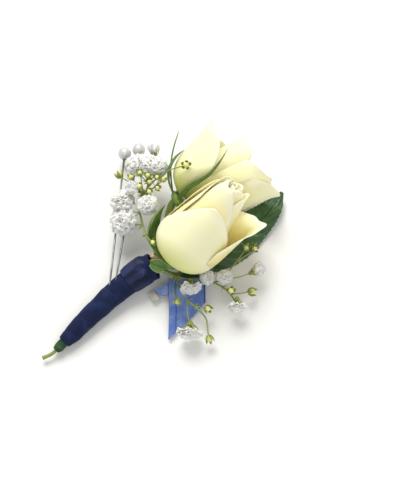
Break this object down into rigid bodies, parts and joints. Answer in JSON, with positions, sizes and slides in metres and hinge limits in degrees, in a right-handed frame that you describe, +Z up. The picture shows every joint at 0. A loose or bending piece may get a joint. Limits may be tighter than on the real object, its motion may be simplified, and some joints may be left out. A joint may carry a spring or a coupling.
{
  "type": "boutonniere",
  "caption": "Boutonniere of cream roses, a serrated leaf and gypsophila, bound with navy tape and organza ribbon, with pearl-headed pins, lying on its side.",
  "frame": {"origin": "middle of the bounding box on the surface that the part lies on", "axes": "+Z up from the surface, +Y from the stem's cut end towards the flowers"},
  "size_m": [0.0878, 0.1148, 0.0398],
  "materials": {
    "petal": "soft matt with a faint sheen",
    "calyx": "satin",
    "leaf": "satin, waxy",
    "spray_green": "matt",
    "floret": "matt",
    "navy_tape": "woven, matt with a faint sheen",
    "green_tape": "matt crepe",
    "organza": "sheer woven",
    "clear_tape": "satin",
    "pin_steel": "polished wire",
    "pearl": "pearlescent"
  },
  "bodies": {
    "root": {"rose_front_petals": "petal", "rose_back_petals": "petal", "rose_front_green": "calyx", "rose_back_green": "calyx", "leaf_large": "leaf", "leaf_small": "leaf", "gyp_left_green": "spray_green", "gyp_right_green": "spray_green", "florets_left_top": "floret", "florets_left_side": "floret", "florets_left_low": "floret", "florets_left_inner": "floret", "florets_left_small": "floret", "florets_left_halfOpen": "floret", "florets_right_edge": "floret", "florets_right_upper": "floret", "florets_right_inner": "floret", "florets_right_halfOpen": "floret", "florets_right_ribbonSide": "floret", "florets_right_low": "floret", "stem_wrap": "navy_tape", "floral_tape": "green_tape", "ribbon_band": "organza", "ribbon_tail": "organza", "tape_tab": "clear_tape", "pin_1_shaft": "pin_steel", "pin_1_pearl": "pearl", "pin_2_shaft": "pin_steel", "pin_2_pearl": "pearl"}
  },
  "joints": []
}
